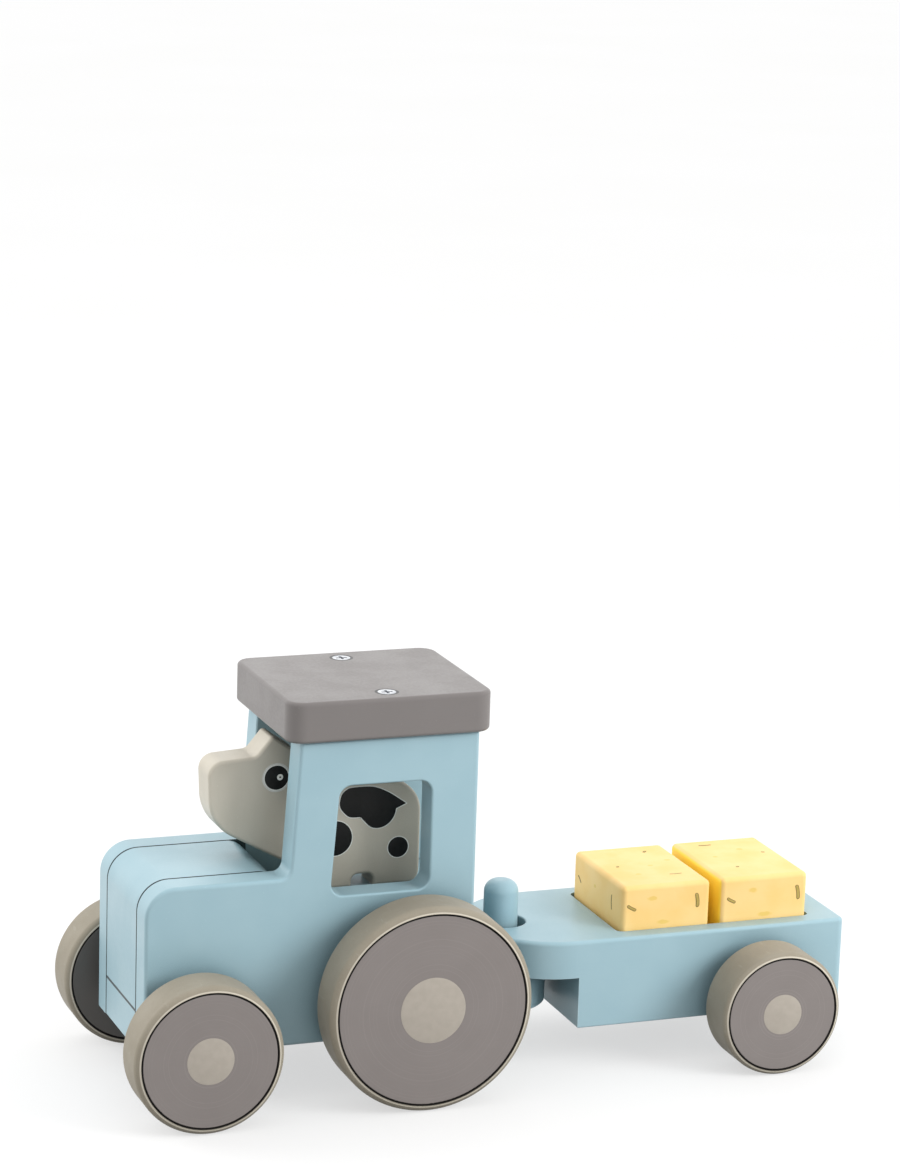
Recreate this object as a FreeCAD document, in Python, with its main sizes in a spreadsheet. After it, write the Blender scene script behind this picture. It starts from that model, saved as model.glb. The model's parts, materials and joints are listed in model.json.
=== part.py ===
import FreeCAD, Part
import os
import re

import Sketcher

# Wooden toy tractor with a hook-on trailer, two loose straw bales and a calf at the wheel.
# Millimetres. The tractor faces -X, +Z is up, Z = 0 is the ground under the tyres, Y = 0 is the
# middle plane, and X = 0 is halfway between the front tyres' front and the trailer's back.

DOC = FreeCAD.newDocument("ToyTractor")
SHEET = DOC.addObject("Spreadsheet::Sheet", "Dimensions")
TOLERANCE = 0.01

DIMENSIONS = {
    # Side panels, the boards between them and the cab
    "board_thick": 12.0,
    "body_half_width": 33.0,
    "body_bottom": 21.8,
    "base_thick": 15.7,
    "hood_front": -140.75,
    "hood_rear": -84.8,
    "hood_top": 89.0,
    "hood_nose_radius": 12.0,
    "hood_tail_radius": 8.0,
    "cab_rear": -8.5,
    "cab_top": 142.5,
    "cab_seat_level": 75.0,
    "pillar_foot": -84.0,
    "pillar_head": -80.8,
    "pillar_foot_radius": 4.0,
    "panel_edge_radius": 1.5,
    "seam_chamfer": 0.45,
    "window_front_low": -67.6,
    "window_front_high": -64.5,
    "window_rear": -27.5,
    "window_sill": 80.5,
    "window_head": 124.0,
    "window_corner_radius": 5.0,
    "window_edge_radius": 0.9,
    # Roof
    "roof_front": -86.5,
    "roof_rear": -4.0,
    "roof_half_width": 36.5,
    "roof_thick": 16.0,
    "roof_corner_radius": 7.0,
    "roof_edge_radius": 1.6,
    # Wood screws with countersunk heads
    "screw_radius": 2.0,
    "screw_head_radius": 4.0,
    "screw_head_deep": 2.4,
    "roof_screw_long": 30.0,
    "roof_screw_along": -44.9,
    "base_screw_long": 32.0,
    "cross_long": 4.6,
    "cross_wide": 1.1,
    "cross_deep": 1.7,
    # Hidden glue dowels
    "dowel_radius": 3.0,
    "dowel_long": 20.0,
    "dowel_in_panel": 8.0,
    "calf_dowel_radius": 2.5,
    "calf_dowel_long": 20.0,
    # Drawbar and hitch peg
    "drawbar_end_middle": 13.0,
    "peg_along": 15.5,
    "peg_radius": 6.9,
    "peg_foot": 27.5,
    "peg_top": 70.7,
    "peg_top_radius": 4.8,
    # Calf, a flat cut-out
    "calf_thick": 15.0,
    "calf_edge_radius": 1.4,
    # Axles and wheels
    "axle_radius": 3.0,
    "bore_radius": 3.05,
    "axle_channel_radius": 4.0,
    "axle_in_disc": 13.0,
    "wheel_inner": 41.0,
    "wheel_outer": 60.5,
    "disc_inset": 0.3,
    "disc_edge_radius": 0.5,
    "groove_wide": 0.6,
    "groove_deep": 1.4,
    "tyre_slope": 0.7,
    "spacer_radius": 7.0,
    "spacer_gap": 0.5,
    "front_axle_along": -122.5,
    "front_tyre_radius": 29.25,
    "front_disc_radius": 26.4,
    "front_tyre_round": 2.9,
    "rear_axle_along": -34.5,
    "rear_tyre_radius": 41.0,
    "rear_disc_radius": 37.8,
    "rear_tyre_round": 3.3,
    "trailer_axle_along": 113.0,
    "trailer_tyre_radius": 25.25,
    "trailer_disc_radius": 22.85,
    "trailer_tyre_round": 2.5,
    # Trailer
    "trailer_half_width": 33.5,
    "trailer_bottom": 17.5,
    "trailer_top": 53.5,
    "trailer_rear": 151.75,
    "trailer_corner_radius": 3.0,
    "trailer_edge_radius": 1.5,
    "tongue_bottom": 38.5,
    "tongue_middle": 35.0,
    "block_front": 36.55,
    "hitch_hole_along": 16.4,
    "hitch_hole_radius": 9.2,
    "tray_front": 55.5,
    "tray_rear": 139.5,
    "tray_half_width": 26.0,
    "tray_deep": 12.0,
    "tray_corner_radius": 3.0,
    # Straw bales
    "bale_long": 38.0,
    "bale_wide": 51.0,
    "bale_high": 30.1,
    "bale_edge_radius": 2.0,
    "front_bale_along": 57.3,
    "rear_bale_along": 100.1,
}

for row, (alias, value) in enumerate(DIMENSIONS.items(), start=1):
    SHEET.set(f"A{row}", alias)
    SHEET.set(f"B{row}", str(value))
    SHEET.setAlias(f"B{row}", alias)
DOC.recompute()

NODES = []


def cells(text):
    """An expression whose words are names of cells in the sheet."""
    return re.sub(r"[a-z_]+", lambda word: "Dimensions." + word.group(), text)


def size(text):
    """The number that an expression of cells gives."""
    return float(SHEET.evalExpression(cells(text)))


def bind(thing, **expressions):
    """Tie properties to the sheet; x, y and z stand for the placement."""
    for name, text in expressions.items():
        path = f"Placement.Base.{name}" if name in ("x", "y", "z") else name
        thing.setExpression(path, cells(text))


def keep(thing, label):
    """Name a finished piece and put it on the list of pieces to write."""
    thing.Label = label
    NODES.append(thing)
    return thing


# ---------------------------------------------------------------- sketches and features

def new_body(name):
    return DOC.addObject("PartDesign::Body", name)


def new_sketch(body, name, plane, offset="0"):
    """A sketch on one of the body's own origin planes, moved along its normal."""
    sketch = body.newObject("Sketcher::SketchObject", name)
    support = next(item for item in body.Origin.OriginFeatures if item.Role == plane)
    sketch.AttachmentSupport = (support, [""])
    sketch.MapMode = "FlatFace"
    sketch.setExpression("AttachmentOffset.Base.z", cells(offset))
    return sketch


def pin(sketch, geometry, point, corner):
    """Hold one point of a sketch at a pair of expressions."""
    for kind, text in zip(("DistanceX", "DistanceY"), corner):
        number = sketch.addConstraint(Sketcher.Constraint(kind, -1, 1, geometry, point, size(text)))
        sketch.setExpression(f"Constraints[{number}]", cells(text))


def polygon(sketch, corners):
    """A closed polygon whose corners are pairs of expressions."""
    points = [FreeCAD.Vector(size(across), size(up), 0) for across, up in corners]
    for start, end in zip(points, points[1:] + points[:1]):
        sketch.addGeometry(Part.LineSegment(start, end))
    count = len(points)
    for index in range(count):
        following = (index + 1) % count
        sketch.addConstraint(Sketcher.Constraint("Coincident", index, 2, following, 1))
        pin(sketch, index, 1, corners[index])


def rectangle(sketch, left, right, low, high):
    polygon(sketch, [(left, low), (right, low), (right, high), (left, high)])


def circle(sketch, middle, radius):
    centre = FreeCAD.Vector(size(middle[0]), size(middle[1]), 0)
    sketch.addGeometry(Part.Circle(centre, FreeCAD.Vector(0, 0, 1), size(radius)))
    pin(sketch, 0, 3, middle)
    number = sketch.addConstraint(Sketcher.Constraint("Radius", 0, size(radius)))
    sketch.setExpression(f"Constraints[{number}]", cells(radius))


def extrude(body, sketch, kind, name, length, reverse=False):
    """A Pad or a Pocket; it must change the body's volume."""
    DOC.recompute()
    before = 0.0 if body.Shape.isNull() else body.Shape.Volume
    feature = body.newObject(f"PartDesign::{kind}", name)
    feature.Profile = sketch
    feature.setExpression("Length", cells(length))
    feature.Reversed = reverse
    sketch.Visibility = False
    DOC.recompute()
    if abs(body.Shape.Volume - before) < 1.0:
        raise RuntimeError(f"{name} changed nothing")
    return feature


def revolve(body, sketch, name):
    """A full turn about the sketch's upright axis."""
    feature = body.newObject("PartDesign::Revolution", name)
    feature.Profile = sketch
    feature.ReferenceAxis = (sketch, ["V_Axis"])
    feature.Angle = 360
    sketch.Visibility = False
    DOC.recompute()
    return feature


def edges_where(shape, test):
    """Names of the edges that pass a test at their ends and in their middle."""
    names = []
    for number, edge in enumerate(shape.Edges, start=1):
        first, last = edge.ParameterRange
        points = [edge.valueAt(place) for place in (first, (first + last) / 2, last)]
        if all(test(point) for point in points):
            names.append(f"Edge{number}")
    return names


def dress(body, kind, name, amount, test):
    """A Fillet or a Chamfer on the edges that pass the test."""
    names = edges_where(body.Shape, test)
    if not names:
        raise RuntimeError(f"{name} found no edge")
    before = body.Tip
    feature = body.newObject(f"PartDesign::{kind}", name)
    feature.Base = (before, names)
    feature.setExpression("Radius" if kind == "Fillet" else "Size", cells(amount))
    DOC.recompute()
    if not feature.isValid():
        raise RuntimeError(f"{name} failed on {names}")
    return feature


def near(value, text):
    return abs(value - size(text)) < TOLERANCE


def at_corner(across, up, first="x", second="z"):
    """A test for the edge that stands on one corner of a profile."""
    return lambda point: near(getattr(point, first), across) and near(getattr(point, second), up)


# ---------------------------------------------------------------- primitives and booleans

def cylinder(name, radius, length, axis, **place):
    """A Part cylinder along an axis, which starts at its placement."""
    thing = DOC.addObject("Part::Cylinder", name)
    turn = FreeCAD.Rotation(FreeCAD.Vector(0, 0, 1), FreeCAD.Vector(*axis))
    thing.Placement = FreeCAD.Placement(FreeCAD.Vector(0, 0, 0), turn)
    bind(thing, Radius=radius, Height=length, **place)
    return thing


def block(name, length, width, height, **place):
    thing = DOC.addObject("Part::Box", name)
    bind(thing, Length=length, Width=width, Height=height, **place)
    return thing


def combine(kind, name, things):
    """One MultiFuse or Compound of several things."""
    thing = DOC.addObject(f"Part::{kind}", name)
    setattr(thing, "Links" if kind == "Compound" else "Shapes", things)
    return thing


def cut(name, base, tool):
    thing = DOC.addObject("Part::Cut", name)
    thing.Base = base
    thing.Tool = tool
    DOC.recompute()
    if thing.Shape.Volume > base.Shape.Volume - 0.1:
        raise RuntimeError(f"{name} cut nothing")
    return thing


def screw_blank(name, along, across, head_level, length, points_down):
    """A countersunk screw without its recess."""
    axis = (0, 0, -1) if points_down else (0, 0, 1)
    turn = FreeCAD.Rotation(FreeCAD.Vector(0, 0, 1), FreeCAD.Vector(*axis))
    head = DOC.addObject("Part::Cone", name + "Head")
    head.Placement = FreeCAD.Placement(FreeCAD.Vector(0, 0, 0), turn)
    place = {"x": along, "y": across, "z": head_level}
    bind(head, Radius1="screw_head_radius", Radius2="screw_radius", Height="screw_head_deep", **place)
    shank = cylinder(name + "Shank", "screw_radius", length, axis, **place)
    return combine("MultiFuse", name, [head, shank])


def screw(name, blank, along, across, head_level, points_down):
    """The screw with a cross recess sunk in its head."""
    sink = "- cross_deep" if points_down else ""
    low = f"{head_level} {sink}"
    half_long = "- cross_long / 2"
    half_wide = "- cross_wide / 2"
    first = block(name + "Slot", "cross_long", "cross_wide", "cross_deep",
                  x=f"{along} {half_long}", y=f"{across} {half_wide}", z=low)
    second = block(name + "CrossSlot", "cross_wide", "cross_long", "cross_deep",
                   x=f"{along} {half_wide}", y=f"{across} {half_long}", z=low)
    return cut(name, blank, combine("MultiFuse", name + "Recess", [first, second]))


# ---------------------------------------------------------------- fasteners and dowels

CORE_HALF = "(body_half_width - board_thick)"
BASE_TOP = "(body_bottom + base_thick)"
ROOF_TOP = "(cab_top + roof_thick)"
SIDES = (("Left", "left", -1), ("Right", "right", 1))

roof_screw_blanks = []
roof_screws = []
for side, _, sign in SIDES:
    across = f"{sign} * (body_half_width - board_thick / 2)"
    name = f"RoofScrew{side}"
    blank = screw_blank(name + "Blank", "roof_screw_along", across, ROOF_TOP, "roof_screw_long", True)
    roof_screw_blanks.append(blank)
    roof_screws.append(screw(name, blank, "roof_screw_along", across, ROOF_TOP, True))
keep(combine("Compound", "RoofScrews", roof_screws), "roof_screws")

BASE_SCREW_PLACES = ("-106", "-93", "-66", "-17")
base_screw_blanks = []
base_screws = []
for index, along in enumerate(BASE_SCREW_PLACES, start=1):
    name = f"BaseScrew{index}"
    blank = screw_blank(name + "Blank", along, "0", "body_bottom", "base_screw_long", False)
    base_screw_blanks.append(blank)
    base_screws.append(screw(name, blank, along, "0", "body_bottom", False))
keep(combine("Compound", "BaseScrews", base_screws), "base_screws")

HOOD_DOWEL_PLACES = (("-128", "62"), ("-96", "62"))
CAB_DOWEL_PLACES = (("-72", "56"), ("-16", "56"))
panel_dowels = {"Left": [], "Right": []}
for side, _, sign in SIDES:
    start = f"{sign} * ({CORE_HALF} + dowel_in_panel)"
    for index, (along, level) in enumerate(HOOD_DOWEL_PLACES + CAB_DOWEL_PLACES, start=1):
        dowel = cylinder(f"Dowel{side}{index}", "dowel_radius", "dowel_long", (0, -sign, 0),
                         x=along, y=start, z=level)
        panel_dowels[side].append(dowel)
every_dowel = combine("Compound", "PanelDowels", panel_dowels["Left"] + panel_dowels["Right"])
keep(every_dowel, "panel_dowels")

CALF_DOWEL_PLACES = ("-61", "-32")
calf_dowels = combine("Compound", "CalfDowels", [
    cylinder(f"CalfDowel{index}", "calf_dowel_radius", "calf_dowel_long", (0, 0, 1),
             x=along, y="0", z="cab_seat_level - calf_dowel_long / 2")
    for index, along in enumerate(CALF_DOWEL_PLACES, start=1)])
keep(calf_dowels, "calf_dowels")


# ---------------------------------------------------------------- tractor body

def axle_bores(name, half_long, radius, axles):
    """Cylinders across the whole body for the named axles."""
    return [cylinder(f"{name}{axle.capitalize()}", radius, f"2 * {half_long}", (0, 1, 0),
                     x=f"{axle}_axle_along", y=f"-{half_long}", z=f"{axle}_tyre_radius")
            for axle in axles]


def side_panel(side, label, sign):
    """One side of hood and cab, sawn from a board, with its window."""
    body = new_body(f"Panel{side}")
    # The profile plane's normal points to -Y, so the sketch lies on the panel's +Y face.
    offset = CORE_HALF if sign < 0 else "(0 - body_half_width)"
    profile = new_sketch(body, f"Panel{side}Profile", "XZ_Plane", offset)
    polygon(profile, [
        ("hood_front", "body_bottom"), ("hood_front", "hood_top"), ("pillar_foot", "hood_top"),
        ("pillar_head", "cab_top"), ("cab_rear", "cab_top"), ("cab_rear", "body_bottom")])
    extrude(body, profile, "Pad", f"Panel{side}Board", "board_thick")
    dress(body, "Fillet", f"Panel{side}Nose", "hood_nose_radius", at_corner("hood_front", "hood_top"))
    dress(body, "Fillet", f"Panel{side}PillarFoot", "pillar_foot_radius",
          at_corner("pillar_foot", "hood_top"))
    window = new_sketch(body, f"Panel{side}Window", "XZ_Plane", offset)
    corners = [("window_front_low", "window_sill"), ("window_front_high", "window_head"),
               ("window_rear", "window_head"), ("window_rear", "window_sill")]
    polygon(window, corners)
    extrude(body, window, "Pocket", f"Panel{side}Opening", "board_thick", reverse=True)
    dress(body, "Fillet", f"Panel{side}WindowCorners", "window_corner_radius",
          lambda point: any(at_corner(*corner)(point) for corner in corners))
    outer = size(f"{sign} * body_half_width")
    inner = size(f"{sign} * {CORE_HALF}")

    def in_window(point):
        return (size("window_front_low") - 1 < point.x < size("window_rear") + 1
                and size("window_sill") - 1 < point.z < size("window_head") + 1)

    dress(body, "Fillet", f"Panel{side}WindowEdge", "window_edge_radius", in_window)
    dress(body, "Fillet", f"Panel{side}OuterEdge", "panel_edge_radius",
          lambda point: abs(point.y - outer) < TOLERANCE and not in_window(point))
    dress(body, "Chamfer", f"Panel{side}SeamEdge", "seam_chamfer",
          lambda point: abs(point.y - inner) < TOLERANCE and not in_window(point))
    tools = panel_dowels[side] + roof_screw_blanks
    tools += axle_bores(f"Panel{side}Bore", "body_half_width", "bore_radius", ("front", "rear"))
    drilled = cut(f"SidePanel{side}", body, combine("Compound", f"Panel{side}Holes", tools))
    return keep(drilled, f"side_panel_{label}")


def hood_block():
    """The block between the panels that makes the hood."""
    body = new_body("HoodBody")
    profile = new_sketch(body, "HoodProfile", "XZ_Plane", f"(0 - {CORE_HALF})")
    rectangle(profile, "hood_front", "hood_rear", BASE_TOP, "hood_top")
    extrude(body, profile, "Pad", "HoodBoard", f"2 * {CORE_HALF}")
    dress(body, "Fillet", "HoodNose", "hood_nose_radius", at_corner("hood_front", "hood_top"))
    dress(body, "Fillet", "HoodTail", "hood_tail_radius", at_corner("hood_rear", "hood_top"))
    half = size(CORE_HALF)
    dress(body, "Chamfer", "HoodSeamEdge", "seam_chamfer",
          lambda point: abs(abs(point.y) - half) < TOLERANCE or
          (near(point.x, "hood_front") and near(point.z, BASE_TOP)))
    tools = combine("Compound", "HoodHoles", [every_dowel] + base_screw_blanks)
    return keep(cut("HoodBlock", body, tools), "hood_block")


def cab_block():
    """The block under the seat; its underside is routed for the rear axle."""
    body = new_body("CabBlockBody")
    profile = new_sketch(body, "CabBlockProfile", "XZ_Plane", f"(0 - {CORE_HALF})")
    rectangle(profile, "hood_rear", "cab_rear", BASE_TOP, "cab_seat_level")
    extrude(body, profile, "Pad", "CabBlockBoard", f"2 * {CORE_HALF}")
    half = size(CORE_HALF)
    dress(body, "Chamfer", "CabBlockSeamEdge", "seam_chamfer",
          lambda point: near(point.x, "cab_rear") and (
              abs(abs(point.y) - half) < TOLERANCE or near(point.z, "cab_seat_level")
              or near(point.z, BASE_TOP)))
    round_top = axle_bores("CabChannel", CORE_HALF, "axle_channel_radius", ("rear",))
    straight = block("CabChannelFoot", "2 * axle_channel_radius", f"2 * {CORE_HALF}",
                     f"rear_tyre_radius - {BASE_TOP}", x="rear_axle_along - axle_channel_radius",
                     y=f"0 - {CORE_HALF}", z=BASE_TOP)
    channel = combine("MultiFuse", "CabChannel", round_top + [straight])
    tools = [channel, every_dowel, calf_dowels] + base_screw_blanks
    return keep(cut("CabBlock", body, combine("Compound", "CabHoles", tools)), "cab_block")


def hitch_peg():
    """The turned peg that the trailer hooks on to."""
    body = new_body("HitchPeg")
    profile = new_sketch(body, "HitchPegProfile", "XZ_Plane")
    rectangle(profile, "0", "peg_radius", "peg_foot", "peg_top")
    revolve(body, profile, "HitchPegTurning")
    dress(body, "Fillet", "HitchPegTop", "peg_top_radius",
          lambda point: near(point.z, "peg_top") and point.x ** 2 + point.y ** 2 > 1)
    bind(body, x="peg_along")
    return keep(body, "hitch_peg")


def base_board(peg):
    """The bottom board, which runs on behind the cab as the drawbar."""
    body = new_body("BaseBody")
    profile = new_sketch(body, "BaseProfile", "XY_Plane", "body_bottom")
    rectangle(profile, "hood_front", "drawbar_end_middle", f"0 - {CORE_HALF}", CORE_HALF)
    extrude(body, profile, "Pad", "BaseBoardPad", "base_thick")
    end = new_sketch(body, "DrawbarEnd", "XY_Plane", "body_bottom")
    circle(end, ("drawbar_end_middle", "0"), CORE_HALF)
    extrude(body, end, "Pad", "DrawbarEndPad", "base_thick")
    dress(body, "Chamfer", "BaseSeamEdge", "seam_chamfer",
          lambda point: near(point.x, "hood_front") or
          (point.x > size("cab_rear") and near(point.z, BASE_TOP))
          or near(point.z, "body_bottom"))
    bore = axle_bores("BaseBore", CORE_HALF, "axle_channel_radius", ("front",))
    tools = combine("Compound", "BaseHoles", [peg] + bore + base_screw_blanks)
    return keep(cut("BaseBoard", body, tools), "base_board")


def roof_board():
    body = new_body("RoofBody")
    profile = new_sketch(body, "RoofProfile", "XY_Plane", "cab_top")
    rectangle(profile, "roof_front", "roof_rear", "0 - roof_half_width", "roof_half_width")
    extrude(body, profile, "Pad", "RoofPad", "roof_thick")
    dress(body, "Fillet", "RoofCorners", "roof_corner_radius",
          lambda point: abs(abs(point.y) - size("roof_half_width")) < TOLERANCE
          and (near(point.x, "roof_front") or near(point.x, "roof_rear")))
    dress(body, "Fillet", "RoofEdges", "roof_edge_radius",
          lambda point: near(point.z, "cab_top") or near(point.z, ROOF_TOP))
    tools = combine("Compound", "RoofHoles", roof_screw_blanks)
    return keep(cut("RoofBoard", body, tools), "roof_board")


def calf_figure():
    """A calf sawn from a board: each outline corner has its rounding, in millimetres."""
    body = new_body("CalfBody")
    profile = new_sketch(body, "CalfProfile", "XZ_Plane", "0 - calf_thick / 2")
    outline = (
        ("-109.4", "129.2", 6.0), ("-90.3", "130.4", 4.0), ("-83.7", "138.4", 1.6),
        ("-73", "131.1", 7.0), ("-64", "117", 8.0), ("-22.3", "117", 13.0),
        ("-22.3", "cab_seat_level", 5.0), ("-41.4", "cab_seat_level", 0.0),
        ("-41.4", "80", 2.8), ("-50.3", "80", 2.8), ("-50.3", "cab_seat_level", 0.0),
        ("-71", "cab_seat_level", 3.0), ("-74", "85.4", 7.0), ("-108.2", "104", 18.0))
    polygon(profile, [(across, up) for across, up, _ in outline])
    extrude(body, profile, "Pad", "CalfBoard", "calf_thick")
    for number, (across, up, radius) in enumerate(outline, start=1):
        if radius:
            dress(body, "Fillet", f"CalfCorner{number}", str(radius), at_corner(across, up))
    half = size("calf_thick / 2")
    dress(body, "Fillet", "CalfEdges", "calf_edge_radius",
          lambda point: abs(abs(point.y) - half) < TOLERANCE)
    return keep(cut("CalfFigure", body, calf_dowels), "calf_figure")


# ---------------------------------------------------------------- wheels

def wheel_disc(axle, side, label, sign):
    """A wooden disc with a blind bore for the end of its axle."""
    body = new_body(f"{axle.capitalize()}Disc{side}")
    inner = f"{sign} * (wheel_inner + disc_inset)"
    face = f"{sign} * (wheel_outer - disc_inset)"
    bore_end = f"{sign} * (wheel_inner + axle_in_disc)"
    rim = f"{axle}_disc_radius"
    profile = new_sketch(body, f"{axle.capitalize()}Disc{side}Profile", "XY_Plane")
    polygon(profile, [("0", bore_end), ("axle_radius", bore_end), ("axle_radius", inner),
                      (rim, inner), (rim, face), ("0", face)])
    revolve(body, profile, f"{axle.capitalize()}Disc{side}Turning")
    dress(body, "Fillet", f"{axle.capitalize()}Disc{side}Edge", "disc_edge_radius",
          lambda point: abs((point.x ** 2 + point.z ** 2) ** 0.5 - size(rim)) < TOLERANCE
          and (near(point.y, inner) or near(point.y, face)))
    bind(body, x=f"{axle}_axle_along", z=f"{axle}_tyre_radius")
    return keep(body, f"{axle}_wheel_disc_{label}")


def tyre(axle, side, label, sign):
    """A tyre ring with wide round shoulders and a fine groove against the disc."""
    body = new_body(f"{axle.capitalize()}Tyre{side}")
    inner = f"{sign} * wheel_inner"
    outer = f"{sign} * wheel_outer"
    seat = f"{axle}_disc_radius"
    lip = f"({seat} + groove_wide)"
    tread = f"{axle}_tyre_radius"
    tread_inner = f"{sign} * (wheel_inner + tyre_slope)"
    tread_outer = f"{sign} * (wheel_outer - tyre_slope)"
    profile = new_sketch(body, f"{axle.capitalize()}Tyre{side}Profile", "XY_Plane")
    polygon(profile, [
        (seat, f"{sign} * (wheel_inner + groove_deep)"), (lip, inner), (tread, tread_inner),
        (tread, tread_outer), (lip, outer), (seat, f"{sign} * (wheel_outer - groove_deep)")])
    revolve(body, profile, f"{axle.capitalize()}Tyre{side}Moulding")
    dress(body, "Fillet", f"{axle.capitalize()}Tyre{side}Shoulders", f"{axle}_tyre_round",
          lambda point: abs((point.x ** 2 + point.z ** 2) ** 0.5 - size(tread)) < TOLERANCE
          and (near(point.y, tread_inner) or near(point.y, tread_outer)))
    bind(body, x=f"{axle}_axle_along", z=f"{axle}_tyre_radius")
    return keep(body, f"{axle}_tyre_{label}")


def wheelset(axle, body_half):
    """An axle, its two wheels and the spacers that hold them off the body."""
    rod_half = "(wheel_inner + axle_in_disc)"
    place = {"x": f"{axle}_axle_along", "z": f"{axle}_tyre_radius"}
    rod = cylinder(f"{axle.capitalize()}Axle", "axle_radius", f"2 * {rod_half}", (0, 1, 0),
                   y=f"0 - {rod_half}", **place)
    keep(rod, f"{axle}_axle")
    spacers = []
    for side, label, sign in SIDES:
        wheel_disc(axle, side, label, sign)
        tyre(axle, side, label, sign)
        long = f"(wheel_inner + disc_inset - {body_half} - spacer_gap)"
        start = f"{sign} * ({body_half} + spacer_gap)"
        name = f"{axle.capitalize()}Spacer{side}"
        ring = cylinder(name + "Outside", "spacer_radius", long, (0, sign, 0), y=start, **place)
        hole = cylinder(name + "Hole", "axle_radius", long, (0, sign, 0), y=start, **place)
        spacers.append(cut(name, ring, hole))
    keep(combine("Compound", f"{axle.capitalize()}Spacers", spacers), f"{axle}_spacers")


# ---------------------------------------------------------------- trailer and bales

def trailer_body():
    """One thick block, rebated under its tongue, with a tray and a hole for the peg."""
    body = new_body("TrailerBody")
    half = "trailer_half_width"
    tongue = new_sketch(body, "TrailerTongue", "XY_Plane", "tongue_bottom")
    rectangle(tongue, "tongue_middle", "trailer_rear", f"0 - {half}", half)
    extrude(body, tongue, "Pad", "TrailerTonguePad", "trailer_top - tongue_bottom")
    nose = new_sketch(body, "TrailerNose", "XY_Plane", "tongue_bottom")
    circle(nose, ("tongue_middle", "0"), half)
    extrude(body, nose, "Pad", "TrailerNosePad", "trailer_top - tongue_bottom")
    deep = new_sketch(body, "TrailerBlock", "XY_Plane", "trailer_bottom")
    rectangle(deep, "block_front", "trailer_rear", f"0 - {half}", half)
    extrude(body, deep, "Pad", "TrailerBlockPad", "tongue_bottom - trailer_bottom")
    dress(body, "Fillet", "TrailerRearCorners", "trailer_corner_radius",
          lambda point: near(point.x, "trailer_rear") and abs(abs(point.y) - size(half)) < TOLERANCE)
    dress(body, "Fillet", "TrailerTopEdge", "trailer_edge_radius",
          lambda point: near(point.z, "trailer_top"))
    dress(body, "Fillet", "TrailerBottomEdge", "trailer_edge_radius / 2",
          lambda point: near(point.z, "trailer_bottom"))
    tray = new_sketch(body, "TrailerTray", "XY_Plane", "trailer_top")
    rectangle(tray, "tray_front", "tray_rear", "0 - tray_half_width", "tray_half_width")
    extrude(body, tray, "Pocket", "TrailerTrayPocket", "tray_deep")
    dress(body, "Fillet", "TrailerTrayCorners", "tray_corner_radius",
          lambda point: abs(abs(point.y) - size("tray_half_width")) < TOLERANCE
          and (near(point.x, "tray_front") or near(point.x, "tray_rear")))
    hole = new_sketch(body, "TrailerHitchHole", "XY_Plane", "trailer_top")
    circle(hole, ("hitch_hole_along", "0"), "hitch_hole_radius")
    extrude(body, hole, "Pocket", "TrailerHitchPocket", "trailer_top - tongue_bottom")
    reach = size("hitch_hole_radius")
    dress(body, "Fillet", "TrailerHitchHoleEdge", "trailer_edge_radius / 2",
          lambda point: near(point.z, "trailer_top") and abs(
              ((point.x - size("hitch_hole_along")) ** 2 + point.y ** 2) ** 0.5 - reach) < TOLERANCE)
    bore = axle_bores("TrailerBore", half, "bore_radius", ("trailer",))[0]
    return keep(cut("TrailerDrilled", body, bore), "trailer_body")


def bale(name, along, label):
    body = new_body(name)
    profile = new_sketch(body, name + "Profile", "XY_Plane", "trailer_top - tray_deep")
    rectangle(profile, along, f"{along} + bale_long", "0 - bale_wide / 2", "bale_wide / 2")
    extrude(body, profile, "Pad", name + "Block", "bale_high")
    dress(body, "Fillet", name + "Edges", "bale_edge_radius", lambda point: True)
    return keep(body, label)


for side, label, sign in SIDES:
    side_panel(side, label, sign)
hood_block()
cab_block()
base_board(hitch_peg())
roof_board()
calf_figure()
wheelset("front", "body_half_width")
wheelset("rear", "body_half_width")
wheelset("trailer", "trailer_half_width")
trailer_body()
bale("FrontBale", "front_bale_along", "bale_front")
bale("RearBale", "rear_bale_along", "bale_rear")

# ---------------------------------------------------------------- checks and files

DOC.recompute()
for thing in DOC.Objects:
    if any(word in ("Invalid", "Error") for word in thing.State):
        raise RuntimeError(f"{thing.Label} is {thing.State}")
for node in NODES:
    if node.Shape.isNull() or not node.Shape.isValid() or not node.Shape.Solids:
        raise RuntimeError(f"{node.Label} has no valid shape")

os.makedirs("parts", exist_ok=True)
for node in NODES:
    node.Shape.exportStep(f"parts/{node.Label}.step")
    box = node.Shape.optimalBoundingBox(False)
    print(f"{node.Label:26s} {len(node.Shape.Solids)} solids {node.Shape.Volume / 1000:8.2f} cm3 "
          f"x {box.XMin:8.2f} {box.XMax:8.2f}  y {box.YMin:7.2f} {box.YMax:7.2f}  "
          f"z {box.ZMin:7.2f} {box.ZMax:7.2f}")
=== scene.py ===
"""Looks of a wooden toy tractor with trailer, calf and two straw bales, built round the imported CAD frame.

All lengths are metres in the row frame: the tractor faces -X, its left side is -Y, and the ground is z = 0.
"""

import json
import math

import bmesh
import bpy
from mathutils import Matrix, Vector


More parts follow.
